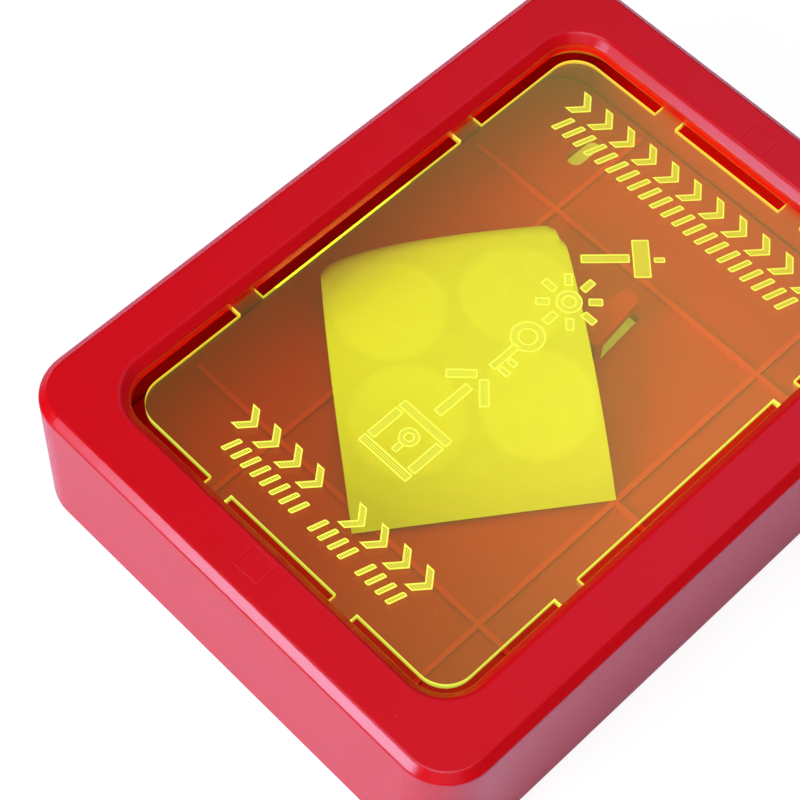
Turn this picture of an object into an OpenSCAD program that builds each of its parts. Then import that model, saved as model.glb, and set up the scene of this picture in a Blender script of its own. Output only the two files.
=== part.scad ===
// Break-glass key box: a drafted front cover with a window, a slotted acrylic pane that
// breaks out, a back plate with a key hook, and a loose sheet of adhesive pads inside.
// The origin is the centre of the back, on the wall. +Z points out of the front, +Y up.

/* [Cover] */
// Width across the back edge
cover_w = 120; // [116:1:140]
// Height along the back edge
cover_h = 160; // [156:1:180]
// Depth from the wall to the flat front face
cover_d = 36; // [35:0.5:45]
// Radius of the outer corners at the back edge
corner_r = 11.5; // [10.5:0.5:14]
// How far each side wall leans in over its depth
wall_draft = 0.5; // [0.3:0.1:0.8]
// Thickness of the side walls at the back edge
wall_t = 2.4; // [2:0.1:3]
// Thickness of the front face
face_t = 2.5; // [2:0.1:3]
// Width of the bevel round the front face, seen from the front
bevel_w = 1.9; // [1:0.1:2.5]
// Depth of the bevel round the front face
bevel_d = 1.6; // [1:0.1:2]
// Radius that eases the side wall into the bevel
shoulder_fillet = 0.8; // [0.3:0.1:1.2]
// Radius that eases the bevel into the front face
face_fillet = 1; // [0.3:0.1:1.2]

/* [Window] */
// Width of the window at the flat face
window_w = 95.8; // [94.4:0.2:97]
// Height of the window at the flat face
window_h = 136.2; // [134.8:0.2:137.4]
// Corner radius of the window at the flat face
window_r = 10.4; // [8:0.2:12]
// How far the window's rim slopes inwards
rim_slope_w = 1.95; // [1:0.05:2.2]
// Depth of the sloping rim
rim_slope_d = 1.75; // [1.5:0.05:3.2]
// Radius that eases the front face into the sloping rim
rim_fillet = 1.5; // [0.3:0.1:1.8]
// Radius that eases the sloping rim into the window's throat
throat_fillet = 0.8; // [0.3:0.1:1.2]
// Width of the lip that bears on the pane
lip_w = 2.6; // [2.2:0.1:2.8]

/* [Pane] */
// Thickness of the acrylic
pane_t = 2; // [1.5:0.1:2.5]
// Depth of the pane's outer face behind the cover's flat face
pane_sunk = 4; // [3.8:0.1:5]
// Width of the whole pane
pane_w = 99.2; // [98:0.2:99.4]
// Height of the whole pane
pane_h = 138.4; // [137.8:0.2:138.6]
// Corner radius of the whole pane
pane_r = 6; // [3:0.5:8]
// Width of the panel that breaks out
panel_w = 87.2; // [84:0.2:88]
// Height of the panel that breaks out
panel_h = 127.2; // [124:0.2:128]
// Corner radius of the panel that breaks out
panel_r = 6.5; // [4:0.5:8]
// Width of the slots round the panel
slot_w = 3.7; // [2.5:0.1:3.8]
// Length of the middle slot above and below the panel
short_slot = 29; // [20:1:34]
// Length of the middle slot beside the panel
long_slot = 56.8; // [40:0.2:70]
// Width of the bridges above and below the panel
short_bridge = 5.75; // [4:0.25:8]
// Width of the bridges beside the panel
long_bridge = 6.2; // [4:0.2:8]

/* [Back plate] */
// Thickness of the plate
plate_t = 2.4; // [2:0.1:3]
// Gap between the plate and the cover's wall
plate_gap = 0.4; // [0.3:0.05:0.6]
// Width and height of the ribs on the plate
rib = 1.2; // [0.8:0.1:1.6]
// Distance of the upright ribs from the middle
upright_rib_x = 29.5; // [25:0.5:32]
// Heights of the cross ribs
cross_rib_y = [-38.5, 1.5, 46]; // [-60:0.5:60]
// Distance of the wall-screw slots from the middle, sideways
screw_x = 36.5; // [35:0.5:45]
// Distance of the wall-screw slots from the middle, upwards
screw_y = 63; // [55:0.5:66]
// Width of a wall-screw slot
screw_slot_w = 4; // [3:0.5:5]
// Length of a wall-screw slot
screw_slot_h = 10; // [6:0.5:12]

/* [Key hook] */
// Height on the plate where a key hangs
hook_y = 25.2; // [20:0.2:28]
// Width of the hook at its root
hook_w = 7.2; // [6:0.2:9]
// Width of the hook at its tip
hook_tip_w = 4.4; // [3.6:0.2:5.6]
// Length of the tongue beyond its root
hook_reach = 13.3; // [10:0.1:15]
// Thickness of the hook
hook_t = 2.4; // [2:0.1:3]
// Gap between the plate and the tongue
hook_gap = 5.2; // [4.5:0.1:6]

/* [Pad sheet] */
// Width of the release liner
liner_w = 55; // [52:1:58]
// Thickness of the release liner
liner_t = 0.3; // [0.2:0.05:0.4]
// Corner of the liner that lies nearest the bottom of the box
liner_corner = [-2.3, -43]; // [-50:0.1:50]
// Turn of the liner on the plate
liner_turn = 54.4; // [50:0.1:58]
// Height of the liner's crown above the wall
liner_crown = 15; // [14.5:0.1:15.5]
// Diameter of an adhesive pad
pad_d = 25; // [20:1:26]
// Thickness of an adhesive pad
pad_t = 1; // [0.8:0.1:1.2]

/* [Hidden] */
$fn = 96;
cut = 1;

abs_red = [0.78, 0.05, 0.11];
acrylic_yellow = [0.87, 0.93, 0.15, 0.55];
paper_white = [0.94, 0.93, 0.88];
foam_white = [0.88, 0.88, 0.84];

// Corner centres that the cover's and the plate's round corners share
cover_c = [cover_w / 2 - corner_r, cover_h / 2 - corner_r];
window_c = [window_w / 2 - window_r, window_h / 2 - window_r];
panel_c = [panel_w / 2 - panel_r, panel_h / 2 - panel_r];

// Cavity of the cover, measured from its corner centres
ceiling_z = cover_d - face_t;
cavity_r = corner_r - wall_t;
cavity_draft = 0.6;

// Heights of the pane, with the play that lets it lie loose between lip and clips
pane_top = cover_d - pane_sunk;
pane_bottom = pane_top - pane_t;
lip_play = 0.05;
clip_play = 0.1;

// Clip that snaps under the pane's edge, with a channel-shaped stem
clip_w = 6;
clip_t = 1.8;
clip_back = 5.6;
clip_web = 1;
clip_hook = 1.3;
clip_nose_z = 0.5;
clip_lead = 1.5;
clip_y = pane_h / 2 + 0.4;

// Ribs that centre the pane sideways
guide_y = 40;
guide_t = 1.2;
guide_play = 0.3;
guide_drop = 3;

// Snap beads on the plate's edge, and the grooves that they sit in
bead_r = 0.6;
bead_proud = 0.3;
bead_l = 16;
bead_z = 1.2;
groove_deep = 0.35;
side_bead_y = 40;

plate_r = corner_r - wall_t - plate_gap;
plate_edge_break = 0.4;
rib_margin = 3;

// Liner: a flat-lying arch that ends in a tight bend down to the plate
crown_s = 45;
crown_drop = 10.8;
arch_r = (crown_s * crown_s + crown_drop * crown_drop) / (2 * crown_drop);
arch_start = asin(crown_s / arch_r);
arch_end = 8;
bend_r = 6;
arch_centre = [crown_s, liner_crown - arch_r];
bend_centre = arch_centre + (arch_r - bend_r) * [sin(arch_end), cos(arch_end)];
arch_steps = 20;
bend_steps = 12;
pad_play = 0.03;
liner_foot_z = plate_t + rib + 0.3;
pad_places = [[14.5, 20.4], [41.8, 20.4], [14.5, 45.8], [41.8, 45.8]];

// Points of an arc that rounds off a corner on the way from one point to another
function corner_arc(before, corner, after, r, steps = 6) =
    let (
        back = (before - corner) / norm(before - corner),
        ahead = (after - corner) / norm(after - corner),
        half = acos(back * ahead) / 2,
        centre = corner + r / sin(half) * (back + ahead) / norm(back + ahead),
        first = corner + r / tan(half) * back - centre,
        start = atan2(first.y, first.x),
        turn = (180 - 2 * half) * sign(cross(-back, ahead))
    )
    [for (i = [0:steps])
        let (a = start + turn * i / steps)
        centre + r * [cos(a), sin(a)]];

// Sweeps a profile of [distance from the corner centres, height] points round a rounded
// rectangle that has its corner centres at +-c
module swept_frame(c, profile) {
    for (corner = [[1, 1, 0], [-1, 1, 90], [-1, -1, 180], [1, -1, 270]])
        translate([corner[0] * c.x, corner[1] * c.y, 0])
            rotate([0, 0, corner[2]])
                rotate_extrude(angle = 90)
                    polygon(profile);
    for (turn = [0, 180]) {
        rotate([0, 0, turn])
            translate([c.x, c.y, 0])
                rotate([90, 0, 0])
                    linear_extrude(2 * c.y)
                        polygon(profile);
        rotate([0, 0, turn + 90])
            translate([c.y, c.x, 0])
                rotate([90, 0, 0])
                    linear_extrude(2 * c.x)
                        polygon(profile);
    }
}

// Solid rounded block whose side follows [distance, height] points from bottom to top
module rounded_block(c, side) {
    bottom = side[0].y;
    top = side[len(side) - 1].y;
    swept_frame(c, concat([[0, bottom]], side, [[0, top]]));
    translate([-c.x, -c.y, bottom])
        cube([2 * c.x, 2 * c.y, top - bottom]);
}

// Plain rounded slab with upright sides
module rounded_slab(c, r, bottom, top) {
    rounded_block(c, [[r, bottom], [r, top]]);
}

// Front cover

module cover_outside() {
    foot = [corner_r, 0];
    shoulder = [corner_r - wall_draft, cover_d - bevel_d];
    brow = [shoulder.x - bevel_w, cover_d];
    rounded_block(cover_c, concat(
        [foot],
        corner_arc(foot, shoulder, brow, shoulder_fillet),
        corner_arc(shoulder, brow, [0, cover_d], face_fillet)
    ));
}

module cover_cavity() {
    slope = cavity_draft / ceiling_z;
    rounded_block(cover_c, [
        [cavity_r + slope * cut, -cut],
        [cavity_r - cavity_draft, ceiling_z]
    ]);
}

module window_lip() {
    lip_r = window_r - rim_slope_w + lip_w;
    rounded_slab(window_c, lip_r, pane_top + lip_play, ceiling_z + face_t / 2);
}

module window_opening() {
    throat = [window_r - rim_slope_w, pane_top - cut];
    knee = [throat.x, cover_d - rim_slope_d];
    rim = [window_r, cover_d];
    flare = corner_arc(knee, rim, rim + [1, 0], rim_fillet);
    rounded_block(window_c, concat(
        [throat],
        corner_arc(throat, knee, rim, throat_fillet),
        flare,
        [flare[len(flare) - 1] + [0, cut]]
    ));
}

// Snap clip at the top of the window, hooked under the pane
module pane_clip() {
    nose_top = pane_bottom - clip_play;
    nose_low = nose_top - clip_nose_z;
    foot = nose_low - clip_lead;
    root = ceiling_z + face_t / 2;
    stem_back = clip_y + clip_t;
    translate([-clip_w / 2, 0, 0])
        rotate([90, 0, 90])
            linear_extrude(clip_w)
                polygon([
                    [clip_y, root],
                    [clip_y, nose_top],
                    [clip_y - clip_hook, nose_top],
                    [clip_y - clip_hook, nose_low],
                    [clip_y + clip_t / 4, foot],
                    [stem_back, foot],
                    [stem_back, root]
                ]);
    for (x = [-clip_w / 2, clip_w / 2 - clip_web])
        translate([x, 0, 0])
            rotate([90, 0, 90])
                linear_extrude(clip_web)
                    polygon([
                        [stem_back - cut, pane_bottom],
                        [stem_back, pane_bottom],
                        [clip_y + clip_back, ceiling_z],
                        [clip_y + clip_back, root],
                        [stem_back - cut, root]
                    ]);
}

// Rib from the side wall that keeps the pane centred
module pane_guide() {
    inner = pane_w / 2 + guide_play;
    translate([inner, guide_y - guide_t / 2, ceiling_z - guide_drop])
        cube([cover_w / 2 - wall_t / 2 - wall_draft - inner, guide_t, guide_drop + face_t / 2]);
}

// Row of round bars along the four edges, for the beads and their grooves
module edge_bars(x, y, length) {
    for (side = [-1, 1]) {
        for (along = [-side_bead_y, side_bead_y])
            translate([side * x, along + length / 2, bead_z])
                rotate([90, 0, 0])
                    cylinder(r = bead_r, h = length);
        translate([-length / 2, side * y, bead_z])
            rotate([0, 90, 0])
                cylinder(r = bead_r, h = length);
    }
}

module front_cover() {
    groove_in = cavity_r - bead_r + groove_deep;
    color(abs_red)
        difference() {
            union() {
                difference() {
                    cover_outside();
                    cover_cavity();
                }
                window_lip();
                for (side = [0, 1])
                    mirror([0, side, 0])
                        pane_clip();
                for (sx = [0, 1], sy = [0, 1])
                    mirror([sx, 0, 0])
                        mirror([0, sy, 0])
                            pane_guide();
            }
            window_opening();
            edge_bars(cover_c.x + groove_in, cover_c.y + groove_in, bead_l + 1);
        }
}

// Break pane

// Solid bars that stay as bridges across the slots
module pane_bridges() {
    for (side = [-1, 1]) {
        x = side * (short_slot + short_bridge) / 2;
        y = side * (long_slot + long_bridge) / 2;
        translate([x - short_bridge / 2, -pane_h / 2, pane_bottom - 2 * cut])
            cube([short_bridge, pane_h, pane_t + 4 * cut]);
        translate([-pane_w / 2, y - long_bridge / 2, pane_bottom - 2 * cut])
            cube([pane_w, long_bridge, pane_t + 4 * cut]);
    }
}

module pane_slots() {
    difference() {
        rounded_slab(panel_c, panel_r + slot_w, pane_bottom - cut, pane_top + cut);
        rounded_slab(panel_c, panel_r, pane_bottom - 2 * cut, pane_top + 2 * cut);
        pane_bridges();
    }
}

module break_pane() {
    pane_c = [pane_w / 2 - pane_r, pane_h / 2 - pane_r];
    color(acrylic_yellow)
        difference() {
            rounded_slab(pane_c, pane_r, pane_bottom, pane_top);
            pane_slots();
        }
}

// Back plate

module plate_ribs() {
    reach_x = cover_c.x + plate_r - rib_margin;
    reach_y = cover_c.y + plate_r - rib_margin;
    for (x = [-upright_rib_x, upright_rib_x])
        translate([x - rib / 2, -reach_y, plate_t / 2])
            cube([rib, 2 * reach_y, plate_t / 2 + rib]);
    for (y = cross_rib_y)
        translate([-reach_x, y - rib / 2, plate_t / 2])
            cube([2 * reach_x, rib, plate_t / 2 + rib]);
}

// Outline of the tongue seen from the front, with a rounded tip
module tongue_outline(length) {
    tip_r = hook_tip_w / 3;
    lean = atan((hook_w - hook_tip_w) / 2 / hook_reach);
    tip_x = hook_tip_w / 2 - tip_r;
    tip_y = length - tip_r;
    side = [tip_x + tip_r * cos(lean), tip_y + tip_r * sin(lean)];
    polygon([
        [-hook_w / 2, -hook_t],
        [hook_w / 2, -hook_t],
        [hook_w / 2, 0],
        side,
        [tip_x, length],
        [-tip_x, length],
        [-side.x, side.y],
        [-hook_w / 2, 0]
    ]);
    for (x = [-tip_x, tip_x])
        translate([x, tip_y])
            circle(r = tip_r);
}

module key_hook() {
    tongue_z = plate_t + hook_gap;
    translate([-hook_w / 2, hook_y - hook_t, plate_t / 2])
        cube([hook_w, hook_t, tongue_z + hook_t - plate_t / 2]);
    translate([0, hook_y, tongue_z])
        linear_extrude(hook_t)
            tongue_outline(hook_reach);
}

// Opening that the mould's shut-off leaves in the plate under the tongue
module hook_shutoff() {
    margin = 0.3;
    translate([0, hook_y, -cut])
        linear_extrude(plate_t + 2 * cut)
            polygon([
                [-hook_w / 2, 0],
                [hook_w / 2, 0],
                [hook_tip_w / 2 + margin, hook_reach + margin],
                [-hook_tip_w / 2 - margin, hook_reach + margin]
            ]);
}

module screw_slots() {
    half = (screw_slot_h - screw_slot_w) / 2;
    for (x = [-screw_x, screw_x], y = [-screw_y, screw_y])
        translate([x, y, -cut]) {
            for (end = [-half, half])
                translate([0, end, 0])
                    cylinder(d = screw_slot_w, h = plate_t + 2 * cut);
            translate([-screw_slot_w / 2, -half, 0])
                cube([screw_slot_w, 2 * half, plate_t + 2 * cut]);
        }
}

module back_plate() {
    bead_in = plate_r - bead_r + bead_proud;
    color(abs_red)
        difference() {
            union() {
                rounded_block(cover_c, [
                    [plate_r, 0],
                    [plate_r, plate_t - plate_edge_break],
                    [plate_r - plate_edge_break, plate_t]
                ]);
                plate_ribs();
                key_hook();
                edge_bars(cover_c.x + bead_in, cover_c.y + bead_in, bead_l);
            }
            hook_shutoff();
            screw_slots();
        }
}

// Pad sheet: its own X runs across the liner and its own Y along it

module on_plate() {
    translate([liner_corner.x, liner_corner.y, 0])
        rotate([0, 0, liner_turn])
            children();
}

// Points along an arc on the liner's lengthwise section, without the last one
function arc_points(centre, r, from, to, steps) =
    [for (i = [0:steps - 1])
        let (a = from + (to - from) * i / steps)
        [centre.x + r * cos(a), centre.y + r * sin(a)]];

function reversed(points) =
    [for (i = [len(points) - 1:-1:0]) points[i]];

// One face of the liner in that section, at a depth below its upper face
function liner_face(depth) =
    let (first = 90 + arch_start, last = 90 - arch_end)
    concat(
        arc_points(arch_centre, arch_r - depth, first, last, arch_steps),
        arc_points(bend_centre, bend_r - depth, last, 0, bend_steps),
        [
            [bend_centre.x + bend_r - depth, bend_centre.y],
            [bend_centre.x + bend_r - depth, liner_foot_z]
        ]
    );

module pad_liner() {
    color(paper_white)
        on_plate()
            rotate([90, 0, 90])
                linear_extrude(liner_w)
                    polygon(concat(liner_face(0), reversed(liner_face(liner_t))));
}

// Round pad that follows the underside of the liner's arch
module adhesive_pad(place) {
    lean = asin((crown_s - place.y) / arch_r);
    outer_r = arch_r - liner_t - pad_play;
    color(foam_white)
        on_plate()
            translate([place.x, crown_s, liner_crown - arch_r])
                rotate([lean, 0, 0])
                    intersection() {
                        translate([0, 0, outer_r - 2 * pad_t - cut])
                            cylinder(d = pad_d, h = 3 * pad_t + cut);
                        difference() {
                            rotate([0, 90, 0])
                                cylinder(r = outer_r, h = pad_d + 2 * cut, center = true);
                            rotate([0, 90, 0])
                                cylinder(r = outer_r - pad_t, h = pad_d + 4 * cut, center = true);
                        }
                    }
}

front_cover();
break_pane();
back_plate();
pad_liner();
adhesive_pad(pad_places[0]);  // adhesive_pad_1
adhesive_pad(pad_places[1]);  // adhesive_pad_2
adhesive_pad(pad_places[2]);  // adhesive_pad_3
adhesive_pad(pad_places[3]);  // adhesive_pad_4
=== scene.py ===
import math

import bmesh
import bpy
from mathutils import Matrix, Quaternion, Vector


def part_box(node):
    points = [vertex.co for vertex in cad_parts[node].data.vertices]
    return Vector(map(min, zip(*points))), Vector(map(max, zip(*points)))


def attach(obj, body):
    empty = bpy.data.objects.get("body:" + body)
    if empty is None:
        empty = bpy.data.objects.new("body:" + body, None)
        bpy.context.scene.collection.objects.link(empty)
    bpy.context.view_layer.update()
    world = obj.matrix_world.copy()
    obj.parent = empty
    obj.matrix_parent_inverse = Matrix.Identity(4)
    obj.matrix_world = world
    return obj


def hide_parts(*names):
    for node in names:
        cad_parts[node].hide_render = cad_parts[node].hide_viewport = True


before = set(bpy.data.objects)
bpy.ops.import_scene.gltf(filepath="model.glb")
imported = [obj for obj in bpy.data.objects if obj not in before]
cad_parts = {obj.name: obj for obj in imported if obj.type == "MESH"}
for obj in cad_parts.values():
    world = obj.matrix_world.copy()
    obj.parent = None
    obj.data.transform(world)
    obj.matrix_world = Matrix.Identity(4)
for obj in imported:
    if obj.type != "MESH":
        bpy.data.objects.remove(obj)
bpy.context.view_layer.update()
mm = 0.001


# Camera
# It stands close above the lower right corner of the box, which lies on its back, and
# is turned a little about its own axis. The top right corner runs out of the picture.

camera_place = Vector((147.94, -191.87, 420.85)) * mm
camera_aim = Vector((-5.62, -27.11, 36)) * mm
camera_roll = math.radians(2.95)

camera = bpy.data.objects.new("camera", bpy.data.cameras.new("camera"))
camera.data.lens = 103.0
camera.data.sensor_width = 36.0
camera.data.clip_start = 0.01
camera.location = camera_place
camera.rotation_mode = "QUATERNION"
looking = (camera_aim - camera_place).to_track_quat("-Z", "Y")
camera.rotation_quaternion = looking @ Quaternion((0, 0, 1), camera_roll)
bpy.context.scene.collection.objects.link(camera)
bpy.context.scene.camera = camera
bpy.context.scene.view_settings.view_transform = "Standard"


# Studio
# A white table under a small bright softbox on the near side, a wide one overhead, a weak
# one on the right and a dim bluish reflector beyond the far side, which fades to its edge.
# The rest of the room is dark, so that the red keeps its depth.

floor_size = 4.0
floor_gap = 0.05 * mm
floor_glow = 0.86
shade_reach = 78 * mm
shade_seen = 0.22
lamp_aim = Vector((0, 0, 30)) * mm
room_light = 0.29
room_mirrored = 0.02


def linear(code):
    """An sRGB hex code as a linear colour with full alpha."""
    parts = [int(code[i:i + 2], 16) / 255 for i in (0, 2, 4)]
    curve = [p / 12.92 if p <= 0.04045 else ((p + 0.055) / 1.055) ** 2.4 for p in parts]
    return (*curve, 1.0)


def add_node(tree, kind, inputs=None, **settings):
    """A node with its settings, its input values and the sockets that link into it."""
    node = tree.nodes.new(kind)
    for name, value in settings.items():
        setattr(node, name, value)
    for name, value in (inputs or {}).items():
        if isinstance(value, bpy.types.NodeSocket):
            tree.links.new(value, node.inputs[name])
        else:
            node.inputs[name].default_value = value
    return node


def empty_tree(holder):
    """The node tree of a material or world, cleared of what it starts with."""
    holder.use_nodes = True
    holder.node_tree.nodes.clear()
    return holder.node_tree


def piece_from(bm, name, *materials):
    """A new object at the origin that takes over a bmesh."""
    mesh = bpy.data.meshes.new(name)
    bm.to_mesh(mesh)
    bm.free()
    for material in materials:
        mesh.materials.append(material)
    made = bpy.data.objects.new(name, mesh)
    bpy.context.scene.collection.objects.link(made)
    return made


def white_laminate():
    """White laminate. The camera sees it bright, with the shadow of the box on it. Through
    the pane it looks bright too, but dim where it lies under the box. It lights the box as
    a plain, faintly violet white."""
    material = bpy.data.materials.new("white_table_laminate")
    tree = empty_tree(material)
    path = add_node(tree, "ShaderNodeLightPath")
    away = add_node(tree, "ShaderNodeVectorMath",
                    {0: add_node(tree, "ShaderNodeTexCoord").outputs["Object"]},
                    operation="LENGTH").outputs["Value"]
    in_the_open = add_node(tree, "ShaderNodeMath", {0: away, 1: shade_reach},
                           operation="GREATER_THAN")
    shaded = add_node(tree, "ShaderNodeMapRange",
                      {"Value": in_the_open.outputs[0], "To Min": shade_seen, "To Max": 1.0})
    through = add_node(tree, "ShaderNodeMath", {0: path.outputs["Is Transmission Ray"],
                                                1: shaded.outputs["Result"]},
                       operation="MULTIPLY")
    seen = add_node(tree, "ShaderNodeMath", {0: path.outputs["Is Camera Ray"],
                                             1: through.outputs[0]}, operation="MAXIMUM")
    lighting = add_node(tree, "ShaderNodeBsdfDiffuse", {"Color": linear("e4d8f6")})
    shadow = add_node(tree, "ShaderNodeBsdfDiffuse", {"Color": linear("808080")})
    glow = add_node(tree, "ShaderNodeEmission", {"Color": linear("ffffff"),
                                                 "Strength": floor_glow})
    bright = add_node(tree, "ShaderNodeAddShader",
                      {0: shadow.outputs[0], 1: glow.outputs[0]})
    mixed = add_node(tree, "ShaderNodeMixShader",
                     {0: seen.outputs[0], 1: lighting.outputs[0], 2: bright.outputs[0]})
    add_node(tree, "ShaderNodeOutputMaterial", {"Surface": mixed.outputs[0]})
    return material


table_paint = white_laminate()
bm = bmesh.new()
bmesh.ops.create_grid(bm, x_segments=1, y_segments=1, size=floor_size / 2)
bmesh.ops.translate(bm, verts=bm.verts, vec=(0, 0, -floor_gap))
piece_from(bm, "floor", table_paint)


def add_softbox(name, place, width, height, watts, colour="ffffff", fade=None):
    """A rectangular lamp that faces the box. With a fade it dims to nothing at that
    distance from its middle."""
    lamp = bpy.data.lights.new(name, "AREA")
    lamp.shape = "RECTANGLE"
    lamp.size = width
    lamp.size_y = height
    lamp.energy = watts
    lamp.color = linear(colour)[:3]
    box = bpy.data.objects.new(name, lamp)
    box.location = place
    box.rotation_mode = "QUATERNION"
    box.rotation_quaternion = (lamp_aim - Vector(place)).to_track_quat("-Z", "Y")
    bpy.context.scene.collection.objects.link(box)
    if fade:
        tree = empty_tree(lamp)
        away = add_node(tree, "ShaderNodeVectorMath",
                        {0: add_node(tree, "ShaderNodeNewGeometry").outputs["Position"],
                         1: place}, operation="DISTANCE").outputs["Value"]
        shine = add_node(tree, "ShaderNodeMapRange",
                         {"Value": away, "From Min": 0.0, "From Max": fade, "To Min": 1.0,
                          "To Max": 0.0}, interpolation_type="SMOOTHSTEP")
        glow = add_node(tree, "ShaderNodeEmission", {"Strength": shine.outputs["Result"]})
        add_node(tree, "ShaderNodeOutputLight", {"Surface": glow.outputs[0]})


add_softbox("near_softbox", (-0.22, -0.97, 0.59), 0.47, 0.45, 8.4)
add_softbox("overhead_softbox", (0.05, -0.25, 1.08), 0.75, 0.7, 4.3)
add_softbox("right_softbox", (0.6, -0.6, 0.8), 0.8, 0.8, 1.0)
add_softbox("far_reflector", (-0.15, 0.75, 1.1), 1.7, 1.7, 5.6, "dbdbff", fade=0.85)

world = bpy.data.worlds.new("studio")
bpy.context.scene.world = world
tree = empty_tree(world)
path = add_node(tree, "ShaderNodeLightPath")
room = add_node(tree, "ShaderNodeMapRange",
                {"Value": path.outputs["Is Glossy Ray"], "To Min": room_light,
                 "To Max": room_mirrored})
dim = add_node(tree, "ShaderNodeBackground", {"Color": linear("ffffff"),
                                              "Strength": room.outputs[0]})
white = add_node(tree, "ShaderNodeBackground", {"Color": linear("ffffff"), "Strength": 1.0})
mixed = add_node(tree, "ShaderNodeMixShader", {0: path.outputs["Is Camera Ray"],
                                               1: dim.outputs[0], 2: white.outputs[0]})
add_node(tree, "ShaderNodeOutputWorld", {"Surface": mixed.outputs[0]})


# Back plate and front cover
# Both are injection-moulded ABS in signal red, and snap together. The mould is
# spark-eroded, which leaves a fine satin grain that sparkles where a softbox is reflected.

abs_colour = "d20410"
abs_shade = "ca030e"
abs_shine = "94ccee"
abs_ior = 1.58
rib_colour = "e61a1c"
rib_z = 3.1 * mm
rib_reach = 0.62 * mm
# The real grain is about 0.08 mm, too fine to show
spark_grain = 0.22 * mm
spark_depth = 0.03 * mm
flow_patch = 18 * mm
dust_colour = "f4c8cc"
dust_cell = 7 * mm
dust_radius = 0.09 * mm
dust_cover = 0.35
sink_x = 1.2 * mm
sink_centre = Vector((0, 71.8, 0)) * mm
sink_half = Vector((3.05, 2.7, 0)) * mm
sink_groove = 0.45 * mm
# Depth of that groove, in depths of the grain
sink_depth = 2.5


def dust(tree, place, cell, radius, cover):
    """How much of the surface dust hides: some in rare round specks, none between them."""
    specks = add_node(tree, "ShaderNodeTexVoronoi", {"Vector": place, "Scale": 1 / cell,
                                                     "Randomness": 1.0})
    inside = add_node(tree, "ShaderNodeMath",
                      {0: specks.outputs["Distance"], 1: radius / cell},
                      operation="LESS_THAN")
    return add_node(tree, "ShaderNodeMath", {0: inside.outputs[0], 1: cover},
                    operation="MULTIPLY").outputs[0]


def box_distance(tree, place, centre, half):
    """How far outside an upright box a point lies, with both sides folded onto one."""
    folded = add_node(tree, "ShaderNodeVectorMath", {0: place}, operation="ABSOLUTE")
    moved = add_node(tree, "ShaderNodeVectorMath", {0: folded.outputs[0], 1: centre},
                     operation="SUBTRACT")
    spread = add_node(tree, "ShaderNodeVectorMath", {0: moved.outputs[0]},
                      operation="ABSOLUTE")
    outside = add_node(tree, "ShaderNodeVectorMath", {0: spread.outputs[0], 1: half},
                       operation="SUBTRACT")
    parts = add_node(tree, "ShaderNodeSeparateXYZ", {"Vector": outside.outputs[0]})
    return add_node(tree, "ShaderNodeMath", {0: parts.outputs["X"], 1: parts.outputs["Y"]},
                    operation="MAXIMUM").outputs[0]


def moulded_abs(name, paler_ribs):
    """ABS: deep red with a fine grain, faint wide patches where the melt flowed, and sink
    marks on the face over the two clips that hold the pane. On the plate, a band from just
    above its face to the tops of the ribs is a paler red."""
    material = bpy.data.materials.new(name)
    tree = empty_tree(material)
    place = add_node(tree, "ShaderNodeTexCoord").outputs["Object"]
    grain = add_node(tree, "ShaderNodeTexNoise",
                     {"Vector": place, "Scale": 1 / spark_grain, "Detail": 2.0,
                      "Roughness": 0.6})
    flow = add_node(tree, "ShaderNodeTexNoise",
                    {"Vector": place, "Scale": 1 / flow_patch, "Detail": 3.0})
    colour = add_node(tree, "ShaderNodeMix",
                      {"Factor": flow.outputs["Fac"], "A": linear(abs_colour),
                       "B": linear(abs_shade)}, data_type="RGBA")
    # A paler red from just above the plate's face to the tops of its ribs
    if paler_ribs:
        level = add_node(tree, "ShaderNodeSeparateXYZ", {"Vector": place}).outputs["Z"]
        on_rib = add_node(tree, "ShaderNodeMath", {0: level, 1: rib_z, 2: rib_reach},
                          operation="COMPARE")
        colour = add_node(tree, "ShaderNodeMix",
                          {"Factor": on_rib.outputs[0], "A": colour.outputs["Result"],
                           "B": linear(rib_colour)}, data_type="RGBA")
    dusty = add_node(tree, "ShaderNodeMix",
                     {"Factor": dust(tree, place, dust_cell, dust_radius, dust_cover),
                      "A": colour.outputs["Result"], "B": linear(dust_colour)},
                     data_type="RGBA")
    satin = add_node(tree, "ShaderNodeMapRange",
                     {"Value": grain.outputs["Fac"], "From Min": 0.3, "From Max": 0.7,
                      "To Min": 0.15, "To Max": 0.26})
    beside = add_node(tree, "ShaderNodeVectorMath", {0: place, 1: (sink_x, 0, 0)},
                      operation="SUBTRACT").outputs[0]
    rim = add_node(tree, "ShaderNodeMath",
                   {0: box_distance(tree, beside, sink_centre, sink_half)},
                   operation="ABSOLUTE")
    groove = add_node(tree, "ShaderNodeMapRange",
                      {"Value": rim.outputs[0], "From Min": 0.0, "From Max": sink_groove,
                       "To Min": -sink_depth, "To Max": 0.0},
                      interpolation_type="SMOOTHSTEP")
    height = add_node(tree, "ShaderNodeMath", {0: grain.outputs["Fac"],
                                               1: groove.outputs["Result"]},
                      operation="ADD")
    bump = add_node(tree, "ShaderNodeBump",
                    {"Height": height.outputs[0], "Strength": 0.45,
                     "Distance": spark_depth})
    skin = add_node(tree, "ShaderNodeBsdfPrincipled",
                    {"Base Color": dusty.outputs["Result"],
                     "Roughness": satin.outputs["Result"],
                     "Normal": bump.outputs["Normal"], "IOR": abs_ior,
                     "Specular Tint": linear(abs_shine)})
    add_node(tree, "ShaderNodeOutputMaterial", {"Surface": skin.outputs[0]})
    return material


for name, paler_ribs in (("back_plate", True), ("front_cover", False)):
    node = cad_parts[name]
    node.data.materials.clear()
    node.data.materials.append(moulded_abs(f"spark_textured_red_abs_{name}", paler_ribs))


# Break pane
# Laser-cut cast acrylic with a fluorescent yellow-green dye, held under the cover's lip by
# two clips. The dye's light is painted on as a glow: bright at the cut edges, and a faint
# painted veil on the faces, weakest at the lower left, where less light falls.

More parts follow.
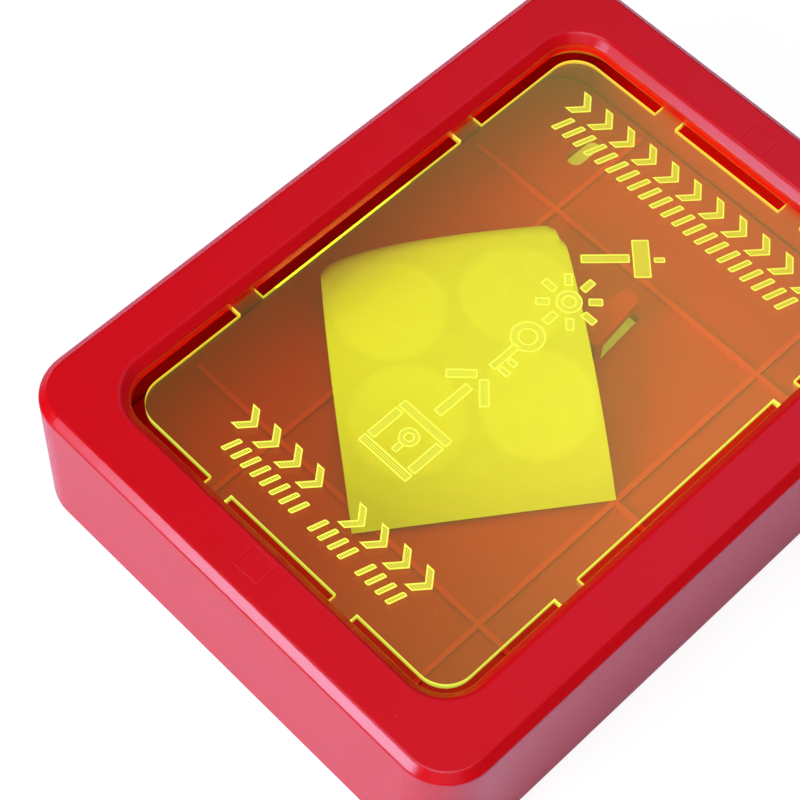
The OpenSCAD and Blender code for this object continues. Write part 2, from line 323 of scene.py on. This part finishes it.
acrylic_tint = "f4f060"
acrylic_through = "f8f9a6"
# Colour of the painted glow of the dye, on the edges and on what they light inside
painted_glow_colour = "e6ee50"
# Colour of the painted veil of light on the panel's faces
painted_veil_colour = "eeff8c"
acrylic_ior = 1.49
# Painted red-orange glow on the rim's faces, for the red of the cover
painted_rim_red = "f0480e"
speck_colour = "f2dcc8"
speck_cell = 6.0 * mm
speck_radius = 0.1 * mm
speck_cover = 0.5
# Strength of the painted veil, from the lower left to the upper right, and on the rim
painted_veil_start = -60 * mm
painted_veil_end = 30 * mm
painted_veil_near = 0.024
painted_veil_far = 0.064
painted_rim_veil = 0.12
# Strengths of the painted glow: panel edges, rim edges, and what the faces give inside
painted_edge_glow = 0.88
painted_rim_glow = 0.09
painted_inner_glow = 0.1
edge_gain = 4.0
# The painted edge glow fades to this share between these depths under the top
edge_fade = 0.45
edge_deep = 1.6 * mm
edge_shallow = 0.5 * mm
pane_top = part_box("break_pane")[1].z
panel_corner = Vector((37.1, 57.1, 0)) * mm
panel_reach = 9.0 * mm
panel_blur = 0.3 * mm


def cast_acrylic():
    """Acrylic: clear and tinted, with a painted glow on the edges round the panel, most at
    their top, and less on the rim outside the slots, where the faces carry a painted
    red-orange glow for the red of the cover. Light that only passes through it to the inside
    of the box goes straight, takes the tint and brings some painted glow of the dye. The
    painted glow of the edges lights what stands near them."""
    material = bpy.data.materials.new("fluorescent_cast_acrylic")
    tree = empty_tree(material)
    coordinates = add_node(tree, "ShaderNodeTexCoord")
    facing = coordinates.outputs["Normal"]
    place = coordinates.outputs["Object"]
    upright = add_node(tree, "ShaderNodeSeparateXYZ", {"Vector": facing}).outputs["Z"]
    either_way = add_node(tree, "ShaderNodeMath", {0: upright}, operation="ABSOLUTE")
    flat = add_node(tree, "ShaderNodeMapRange",
                    {"Value": either_way.outputs[0], "From Min": 0.3, "From Max": 0.6})
    folded = add_node(tree, "ShaderNodeVectorMath", {0: place}, operation="ABSOLUTE")
    past = add_node(tree, "ShaderNodeVectorMath", {0: folded.outputs[0], 1: panel_corner},
                    operation="SUBTRACT")
    beyond = add_node(tree, "ShaderNodeVectorMath", {0: past.outputs[0], 1: (0, 0, 0)},
                      operation="MAXIMUM")
    level = add_node(tree, "ShaderNodeVectorMath", {0: beyond.outputs[0], 1: (1, 1, 0)},
                     operation="MULTIPLY")
    reach = add_node(tree, "ShaderNodeVectorMath", {0: level.outputs[0]},
                     operation="LENGTH").outputs["Value"]
    on_rim = add_node(tree, "ShaderNodeMapRange",
                      {"Value": reach, "From Min": panel_reach - panel_blur,
                       "From Max": panel_reach + panel_blur}).outputs["Result"]
    diagonal = add_node(tree, "ShaderNodeVectorMath", {0: place, 1: (1, 1, 0)},
                        operation="DOT_PRODUCT").outputs["Value"]
    # Painted veil of light on the faces, weakest at the lower left, where less light falls
    painted_veil = add_node(tree, "ShaderNodeMapRange",
                    {"Value": diagonal, "From Min": painted_veil_start, "From Max": painted_veil_end,
                     "To Min": painted_veil_near, "To Max": painted_veil_far})
    face_light = add_node(tree, "ShaderNodeMix",
                          {"Factor": on_rim, "A": painted_veil.outputs["Result"], "B": painted_rim_veil},
                          data_type="FLOAT")
    # Painted glow of the edges: strong round the panel, weak on the rim outside the slots
    edge_light = add_node(tree, "ShaderNodeMix",
                          {"Factor": on_rim, "A": painted_edge_glow, "B": painted_rim_glow},
                          data_type="FLOAT")
    height = add_node(tree, "ShaderNodeSeparateXYZ", {"Vector": place}).outputs["Z"]
    # The painted edge glow dims towards the underside of the sheet
    fade = add_node(tree, "ShaderNodeMapRange",
                    {"Value": height, "From Min": pane_top - edge_deep,
                     "From Max": pane_top - edge_shallow, "To Min": edge_fade,
                     "To Max": 1.0})
    edge_shown = add_node(tree, "ShaderNodeMath", {0: edge_light.outputs["Result"],
                                                   1: fade.outputs["Result"]},
                          operation="MULTIPLY")
    strength = add_node(tree, "ShaderNodeMix",
                        {"Factor": flat.outputs["Result"], "A": edge_shown.outputs[0],
                         "B": face_light.outputs["Result"]}, data_type="FLOAT")
    # Rim faces carry a painted red-orange glow for the cover, the panel's faces a pale
    # painted veil
    face_colour = add_node(tree, "ShaderNodeMix",
                           {"Factor": on_rim, "A": linear(painted_veil_colour),
                            "B": linear(painted_rim_red)}, data_type="RGBA")
    shine = add_node(tree, "ShaderNodeMix",
                     {"Factor": flat.outputs["Result"], "A": linear(painted_glow_colour),
                      "B": face_colour.outputs["Result"]}, data_type="RGBA")
    sheet = add_node(tree, "ShaderNodeBsdfPrincipled",
                     {"Base Color": linear(acrylic_tint), "Roughness": 0.02,
                      "IOR": acrylic_ior, "Transmission Weight": 1.0,
                      "Emission Color": shine.outputs["Result"],
                      "Emission Strength": strength.outputs["Result"]})
    speck = add_node(tree, "ShaderNodeBsdfDiffuse", {"Color": linear(speck_colour)})
    top = add_node(tree, "ShaderNodeMath", {0: upright, 1: 0.9}, operation="GREATER_THAN")
    specks = dust(tree, place, speck_cell, speck_radius, speck_cover)
    specks_on_top = add_node(tree, "ShaderNodeMath", {0: specks, 1: top.outputs[0]},
                             operation="MULTIPLY")
    dusty = add_node(tree, "ShaderNodeMixShader",
                     {0: specks_on_top.outputs[0], 1: sheet.outputs[0],
                      2: speck.outputs[0]})
    straight = add_node(tree, "ShaderNodeBsdfTransparent",
                        {"Color": linear(acrylic_through)})
    # Painted glow that the pane gives to the inside of the box: strong from the edges, faint
    # from the faces
    edge_given = add_node(tree, "ShaderNodeMath",
                          {0: edge_light.outputs["Result"], 1: edge_gain},
                          operation="MULTIPLY")
    given = add_node(tree, "ShaderNodeMix",
                     {"Factor": flat.outputs["Result"], "A": edge_given.outputs[0],
                      "B": painted_inner_glow}, data_type="FLOAT")
    painted_dye_glow = add_node(tree, "ShaderNodeEmission", {"Color": linear(painted_glow_colour),
                                                "Strength": given.outputs["Result"]})
    clear = add_node(tree, "ShaderNodeAddShader", {0: straight.outputs[0], 1: painted_dye_glow.outputs[0]})
    path = add_node(tree, "ShaderNodeLightPath")
    passing = add_node(tree, "ShaderNodeMath", {0: path.outputs["Is Shadow Ray"],
                                                1: path.outputs["Is Diffuse Ray"]},
                       operation="MAXIMUM")
    mixed = add_node(tree, "ShaderNodeMixShader",
                     {0: passing.outputs[0], 1: dusty.outputs[0], 2: clear.outputs[0]})
    add_node(tree, "ShaderNodeOutputMaterial", {"Surface": mixed.outputs[0]})
    return material


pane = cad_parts["break_pane"]
pane.data.materials.clear()
pane.data.materials.append(cast_acrylic())


# Engraved marks on the pane
# Plain signs and safety bars, raster-engraved by the laser that cuts the pane. Each stroke
# has a deep outline with a brighter painted glow, and its field is scored with parallel
# lines. The strokes are drawn in millimetres and brought to metres once they are whole.

engraving_top = pane_top + 0.04 * mm
engraving_depth = 0.03 * mm
outline_w = 0.3 * mm
corner_round = 0.28
# The real lines are about 0.1 mm apart, too fine to show
score_pitch = 0.45 * mm
frost_grain = 0.5 * mm
engraving_colour = "d4da46"
# Colour of the painted glow in the cuts
painted_engraving_glow = "f0f85e"
engraving_backlit = "f4f69c"
engraving_through = "fbf9c0"
first_sign_y = 31.0
sign_pitch = 15.48
sign_stroke = 2.1


def bar(bm, start, end, width):
    """A straight stroke between two points, as one face."""
    run = Vector(end) - Vector(start)
    turn = Matrix.Rotation(math.atan2(run.y, run.x), 4, "Z")
    size = Matrix.Diagonal((run.length, width, 1, 1))
    middle = (Vector(start) + Vector(end)) / 2
    place = Matrix.Translation((middle.x, middle.y, 0))
    bmesh.ops.create_grid(bm, x_segments=1, y_segments=1, size=0.5,
                          matrix=place @ turn @ size)


def ring(bm, y, radius, width):
    """A round stroke about a point of the middle line."""
    middle = Vector((0, y, 0))
    ends = [bm.verts.new(middle + Vector((r, 0, 0)))
            for r in (radius - width / 2, radius + width / 2)]
    edge = bm.edges.new(ends)
    bmesh.ops.spin(bm, geom=ends + [edge], cent=middle, axis=(0, 0, 1),
                   angle=2 * math.pi, steps=36, use_merge=True)


def lean_bar(bm, x, y, width, height, lean):
    """One leaning bar of a safety stripe, with level ends."""
    corners = [(x, y), (x + width, y), (x + width + lean, y + height), (x + lean, y + height)]
    bm.faces.new([bm.verts.new((*corner, 0)) for corner in corners])


def chevron(bm, x, y, width, height, reach):
    """One angled mark that points to the right."""
    half = height / 2
    corners = [(x, y), (x + width, y), (x + width + reach, y + half),
               (x + width, y + height), (x, y + height), (x + reach, y + half)]
    bm.faces.new([bm.verts.new((*corner, 0)) for corner in corners])


def hammer_sign(bm, y):
    """A hammer with its handle at the lower left: handle, head and the handle's end."""
    bar(bm, (-5.6, y - 6.2), (1.3, y + 1.2), sign_stroke)
    bar(bm, (-0.4, y + 6.1), (6.4, y - 0.3), 3.6)
    bar(bm, (5.0, y + 4.5), (6.6, y + 6.2), 1.3)


def burst_sign(bm, y):
    """A ring with eight rays, where the blow goes."""
    middle = Vector((0, y))
    for i in range(8):
        ray = Matrix.Rotation(math.radians(45 * i), 2) @ Vector((1, 0))
        end = 6.9 if i % 2 else 7.2
        bar(bm, middle + ray * 3.9, middle + ray * end, 1.8)
    ring(bm, y, 2.0, 1.5)


def key_sign(bm, y):
    """A key with its bow at the top."""
    ring(bm, y + 3.4, 2.7, 1.9)
    bar(bm, (0, y + 0.5), (0, y - 7.0), 1.8)
    for drop, reach in ((5.9, 3.7), (3.3, 3.2)):
        bar(bm, (1.1, y - drop), (reach, y - drop), 1.5)


def arrow_sign(bm, y):
    """An arrow that points up."""
    bar(bm, (0, y - 6.8), (0, y + 2.2), sign_stroke)
    for side in (-1, 1):
        bar(bm, (5.4 * side, y + 0.9), (0.9 * side, y + 5.4), sign_stroke)


def box_sign(bm, y):
    """A key box seen from the front, with a keyhole in its middle."""
    for level in (5.4, -5.6):
        bar(bm, (-6.6, y + level), (6.6, y + level), sign_stroke)
    for side in (-5.6, 5.6):
        bar(bm, (side, y + 4.0), (side, y - 4.2), sign_stroke)
    ring(bm, y + 0.9, 1.5, 1.4)
    bar(bm, (0, y - 1.1), (0, y - 3.4), 1.5)


bm = bmesh.new()

# Rows of chevrons with leaning bars under them, above and below the middle column
for i in range(11):
    chevron(bm, x=-34.6 + 6.32 * i, y=50.7, width=2.1, height=6.2, reach=2.6)
for i in range(21):
    lean_bar(bm, x=-33.2 + 3.12 * i, y=44.8, width=1.35, height=4.9, lean=1.5)
for start in (-26.5, 3.6):
    for i in range(4):
        chevron(bm, x=start + 6.1 * i, y=-52.9, width=2.0, height=6.1, reach=2.5)
for start, count in ((-23.8, 8), (0.6, 4), (13.6, 4)):
    for i in range(count):
        lean_bar(bm, x=start + 2.72 * i, y=-58.1, width=1.2, height=4.0, lean=1.2)

# The middle column, from the top
for i, sign in enumerate((hammer_sign, burst_sign, key_sign, arrow_sign, box_sign)):
    sign(bm, first_sign_y - sign_pitch * i)

bmesh.ops.remove_doubles(bm, verts=bm.verts, dist=0.001)
bmesh.ops.recalc_face_normals(bm, faces=bm.faces)
corners = [vert for face in bm.faces if len(face.verts) == 4 for vert in face.verts
           if len(vert.link_edges) == 2]
bmesh.ops.bevel(bm, geom=corners, offset=corner_round, segments=2, profile=0.5,
                material=-1, affect="VERTICES")
bmesh.ops.scale(bm, verts=bm.verts, vec=(mm, mm, 1))
bmesh.ops.translate(bm, verts=bm.verts, vec=(0, 0, engraving_top))
for face in bm.faces:
    if face.normal.z < 0:
        face.normal_flip()
outline = bmesh.ops.inset_region(bm, faces=bm.faces[:], thickness=outline_w,
                                 use_even_offset=True, use_boundary=True)
for face in outline["faces"]:
    face.material_index = 1
bmesh.ops.solidify(bm, geom=bm.faces[:], thickness=engraving_depth)


def engraved_acrylic(name, scored):
    """Engraved acrylic: the dye's light scattered by the cut is a painted glow, brightest
    where the cut is deepest, and some of what lies below shines through. A scored field is
    bright along its level lines and a little clearer between them."""
    material = bpy.data.materials.new(name)
    tree = empty_tree(material)
    place = add_node(tree, "ShaderNodeTexCoord").outputs["Object"]
    upward = add_node(tree, "ShaderNodeSeparateXYZ", {"Vector": place}).outputs["Y"]
    phase = add_node(tree, "ShaderNodeMath", {0: upward, 1: 2 * math.pi / score_pitch},
                     operation="MULTIPLY")
    wave = add_node(tree, "ShaderNodeMath", {0: phase.outputs[0]}, operation="SINE")
    frost = add_node(tree, "ShaderNodeTexNoise", {"Vector": place,
                                                  "Scale": 1 / frost_grain})
    frosted_wave = add_node(tree, "ShaderNodeMath", {0: wave.outputs[0],
                                                     1: frost.outputs["Fac"]},
                            operation="ADD")
    line = add_node(tree, "ShaderNodeMapRange",
                    {"Value": frosted_wave.outputs[0], "From Min": 0.0, "From Max": 0.9,
                     "To Min": 0.38, "To Max": 0.9})
    # Painted glow of the cut, a little stronger on the deep outline than on the scored field
    body = add_node(tree, "ShaderNodeBsdfPrincipled",
                    {"Base Color": linear(engraving_colour), "Roughness": 0.55,
                     "IOR": acrylic_ior, "Emission Color": linear(painted_engraving_glow),
                     "Emission Strength": 0.43 if scored else 0.5})
    backlit = add_node(tree, "ShaderNodeBsdfTranslucent",
                       {"Color": linear(engraving_backlit)})
    frosted = add_node(tree, "ShaderNodeMixShader",
                       {0: 0.35 if scored else 0.1, 1: body.outputs[0],
                        2: backlit.outputs[0]})
    clear = add_node(tree, "ShaderNodeBsdfTransparent",
                     {"Color": linear(engraving_through)})
    path = add_node(tree, "ShaderNodeLightPath")
    passing = add_node(tree, "ShaderNodeMath", {0: path.outputs["Is Shadow Ray"],
                                                1: path.outputs["Is Diffuse Ray"]},
                       operation="MAXIMUM")
    seen = add_node(tree, "ShaderNodeMath", {0: 1.0, 1: passing.outputs[0]},
                    operation="SUBTRACT")
    cover = add_node(tree, "ShaderNodeMath",
                     {0: seen.outputs[0], 1: line.outputs["Result"] if scored else 0.97},
                     operation="MULTIPLY")
    mixed = add_node(tree, "ShaderNodeMixShader",
                     {0: cover.outputs[0], 1: clear.outputs[0], 2: frosted.outputs[0]})
    add_node(tree, "ShaderNodeOutputMaterial", {"Surface": mixed.outputs[0]})
    return material


marks = piece_from(bm, "engraved_marks", engraved_acrylic("scored_acrylic", True),
                   engraved_acrylic("deep_cut_acrylic", False))
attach(marks, "cover")


# Release liner
# One sheet of siliconed paper, cut a little askew from a roll. It keeps the roll's curl, so
# it lies loose as a low arch, and its far end is bent down, most at the two corners.

liner_w = 55 * mm
liner_l = 67 * mm
liner_t = 0.15 * mm
liner_corner = Vector((-2.3, -43, 0)) * mm
liner_turn = Matrix.Rotation(math.radians(54.4), 3, "Z")
liner_row = liner_turn @ Vector((1, 0, 0))
crown_s = 45 * mm
crown_z = 15 * mm
arch_r = 99.15 * mm
arch_start = math.asin(crown_s / arch_r)

# The bend at the far end: where it starts at the left and how much nearer at the right,
# and over what width and by how much it comes nearer still towards each corner
bend_r = 6.95 * mm
bend_s = 62.13 * mm
bend_skew = 1.94 * mm
left_curl_w = 45.1 * mm
left_curl = 8.86 * mm
right_curl_w = 3.9 * mm
right_curl = 5.55 * mm

# How the cut leaves a true rectangle: the left edge curves in beyond a distance, at a rate
# per metre, and the right one runs in at a slope
trim_from = 20 * mm
left_trim = 1.0
right_trim = 0.005

# The pads stick to its underside, in two rows of two
pad_across = (14.5 * mm, 41.8 * mm)
pad_along = (21.84 * mm, 47.5 * mm)
pad_r = 12.5 * mm

paper_colour = "e2dfd2"
backed_colour = "f3f2ed"
fibre_depth = 0.03 * mm
crease_angle = 0.6
# Sizes on the paper, in the millimetres of its UV map
cloud_size = 4.0
fibre_size = 0.625
backed_inside = 1.3
backed_outside = 0.7


def bend_start(across):
    """Distance from the near edge at which the far end begins to bend down."""
    left = min(1, max(0, 1 - across / left_curl_w))
    right = min(1, max(0, (across - liner_w) / right_curl_w + 1))
    nearer = (bend_skew * across / liner_w + left_curl * (1 - math.sqrt(1 - left ** 2))
              + right_curl * (1 - math.sqrt(1 - right ** 2)))
    return bend_s - nearer


def lie(across, along, depth):
    """Where a point of the flat sheet comes to lie in the box, at a depth below its top."""
    start = bend_start(across)
    tilt = math.asin((start - crown_s) / arch_r)
    turn = min(along / arch_r - arch_start, tilt)
    s = crown_s + (arch_r - depth) * math.sin(turn)
    z = crown_z - arch_r + (arch_r - depth) * math.cos(turn)
    past = along - arch_r * (tilt + arch_start)
    if past > 0:
        turn = tilt + past / bend_r
        s += (bend_r - depth) * (math.sin(turn) - math.sin(tilt))
        z += (bend_r - depth) * (math.cos(turn) - math.cos(tilt))
    return liner_corner + liner_turn @ Vector((across, s, z))


def trim(across, along):
    """How far the cut runs to the right of a true rectangle, at a point of the sheet."""
    side = across / liner_w
    left = left_trim * max(0, along - trim_from) ** 2
    return (1 - side) * left - side * right_trim * along


def crease(bm):
    """Smooth faces everywhere, with hard edges where a cut side meets a face."""
    for face in bm.faces:
        face.smooth = True
    for edge in bm.edges:
        edge.smooth = edge.calc_face_angle(0) < crease_angle


bm = bmesh.new()
bmesh.ops.create_grid(bm, x_segments=44, y_segments=64, size=0.5)
bmesh.ops.translate(bm, verts=bm.verts, vec=(0.5, 0.5, 0))
bmesh.ops.scale(bm, verts=bm.verts, vec=(liner_w, liner_l, 1))
bmesh.ops.solidify(bm, geom=bm.faces[:], thickness=liner_t)
cut_place = bm.loops.layers.uv.new("cut_place")
for face in bm.faces:
    for loop in face.loops:
        x, y, depth = loop.vert.co
        loop[cut_place].uv = ((x + trim(x, y)) / mm, y / mm)
for vert in bm.verts:
    x, y, depth = vert.co
    vert.co = lie(x, y, abs(depth)) + liner_row * trim(x, y)
bmesh.ops.recalc_face_normals(bm, faces=bm.faces)
crease(bm)


def siliconed_paper():
    """Release paper: smooth and faintly shiny, with cloudy fibres. It is thin, so it looks
    whiter where a foam pad backs it."""
    material = bpy.data.materials.new("siliconed_release_paper")
    tree = empty_tree(material)
    place = add_node(tree, "ShaderNodeUVMap", uv_map="cut_place").outputs[0]
    first_pad = Vector((pad_across[0], pad_along[0], 0)) / mm
    last_pad = Vector((pad_across[1], pad_along[1], 0)) / mm
    from_middle = add_node(tree, "ShaderNodeVectorMath",
                           {0: place, 1: (first_pad + last_pad) / 2}, operation="SUBTRACT")
    folded = add_node(tree, "ShaderNodeVectorMath", {0: from_middle.outputs[0]},
                      operation="ABSOLUTE")
    from_pad = add_node(tree, "ShaderNodeVectorMath",
                        {0: folded.outputs[0], 1: (last_pad - first_pad) / 2},
                        operation="DISTANCE").outputs["Value"]
    backed = add_node(tree, "ShaderNodeMapRange",
                      {"Value": from_pad, "From Min": pad_r / mm - backed_inside,
                       "From Max": pad_r / mm + backed_outside, "To Min": 1.0,
                       "To Max": 0.0}, interpolation_type="SMOOTHSTEP").outputs["Result"]
    cloud = add_node(tree, "ShaderNodeTexNoise", {"Vector": place, "Scale": 1 / cloud_size,
                                                  "Detail": 4.0})
    fibre = add_node(tree, "ShaderNodeTexNoise", {"Vector": place, "Scale": 1 / fibre_size,
                                                  "Detail": 3.0})
    cloudy = add_node(tree, "ShaderNodeMath", {0: cloud.outputs["Fac"], 1: 0.5},
                      operation="MULTIPLY")
    whiteness = add_node(tree, "ShaderNodeMath", {0: backed, 1: 0.45, 2: cloudy.outputs[0]},
                         operation="MULTIPLY_ADD")
    colour = add_node(tree, "ShaderNodeMix",
                      {"Factor": whiteness.outputs[0], "A": linear(paper_colour),
                       "B": linear(backed_colour)}, data_type="RGBA", clamp_factor=True)
    height = add_node(tree, "ShaderNodeMath",
                      {0: backed, 1: 1.5, 2: fibre.outputs["Fac"]},
                      operation="MULTIPLY_ADD")
    bump = add_node(tree, "ShaderNodeBump",
                    {"Height": height.outputs[0], "Strength": 0.4, "Distance": fibre_depth})
    paper = add_node(tree, "ShaderNodeBsdfPrincipled",
                     {"Base Color": colour.outputs["Result"], "Roughness": 0.5,
                      "Normal": bump.outputs["Normal"]})
    add_node(tree, "ShaderNodeOutputMaterial", {"Surface": paper.outputs[0]})
    return material


liner = piece_from(bm, "release_liner", siliconed_paper())
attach(liner, "pad_sheet")
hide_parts("pad_liner")


# Adhesive pads
# Four die-cut rounds of white closed-cell foam tape, stuck to the underside of the liner.
# The die leaves a clean side, slightly pinched at both faces.

pad_t = 1.0 * mm
pad_gap = 0.03 * mm
pinch = 0.15 * mm
waist = 0.08 * mm
foam_cell = 0.35 * mm
cell_depth = 0.08 * mm
foam_colour = "f2f1ec"
cell_colour = "dedcd2"


def closed_cell_foam():
    """Polyethylene foam: matt white, with the fine cells that the cut opens."""
    material = bpy.data.materials.new("closed_cell_foam")
    tree = empty_tree(material)
    place = add_node(tree, "ShaderNodeTexCoord").outputs["Object"]
    cells = add_node(tree, "ShaderNodeTexVoronoi", {"Vector": place,
                                                    "Scale": 1 / foam_cell})
    bump = add_node(tree, "ShaderNodeBump",
                    {"Height": cells.outputs["Distance"], "Strength": 0.6,
                     "Distance": cell_depth})
    colour = add_node(tree, "ShaderNodeMix",
                      {"Factor": cells.outputs["Distance"], "A": linear(foam_colour),
                       "B": linear(cell_colour)}, data_type="RGBA")
    foam = add_node(tree, "ShaderNodeBsdfPrincipled",
                    {"Base Color": colour.outputs["Result"], "Roughness": 0.8,
                     "Normal": bump.outputs["Normal"]})
    add_node(tree, "ShaderNodeOutputMaterial", {"Surface": foam.outputs[0]})
    return material


def foam_round(across, along):
    """A pad under the sheet, spun from its profile and then laid along the sheet's curve.
    The radii on its faces let them bend."""
    bm = bmesh.new()
    radii = [0, 4 * mm, 8 * mm, 11 * mm, pad_r - 2 * pinch]
    side = [(pad_r, pinch), (pad_r - waist, pad_t / 2), (pad_r, pad_t - pinch)]
    profile = [(r, 0) for r in radii] + side + [(r, pad_t) for r in reversed(radii)]
    points = [bm.verts.new((r, 0, depth)) for r, depth in profile]
    edges = [bm.edges.new(pair) for pair in zip(points, points[1:])]
    bmesh.ops.spin(bm, geom=points + edges, cent=(0, 0, 0), axis=(0, 0, 1),
                   angle=2 * math.pi, steps=48, use_merge=True)
    bmesh.ops.remove_doubles(bm, verts=bm.verts, dist=0.001 * mm)
    for vert in bm.verts:
        vert.co = lie(across + vert.co.x, along + vert.co.y,
                      liner_t + pad_gap + vert.co.z)
    bmesh.ops.recalc_face_normals(bm, faces=bm.faces)
    crease(bm)
    return bm


foam = closed_cell_foam()
pads = []
for along in pad_along:
    for across in pad_across:
        number = len(pads) + 1
        pad = piece_from(foam_round(across, along), f"foam_pad_{number}", foam)
        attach(pad, "pad_sheet")
        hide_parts(f"adhesive_pad_{number}")
        pads.append(pad)
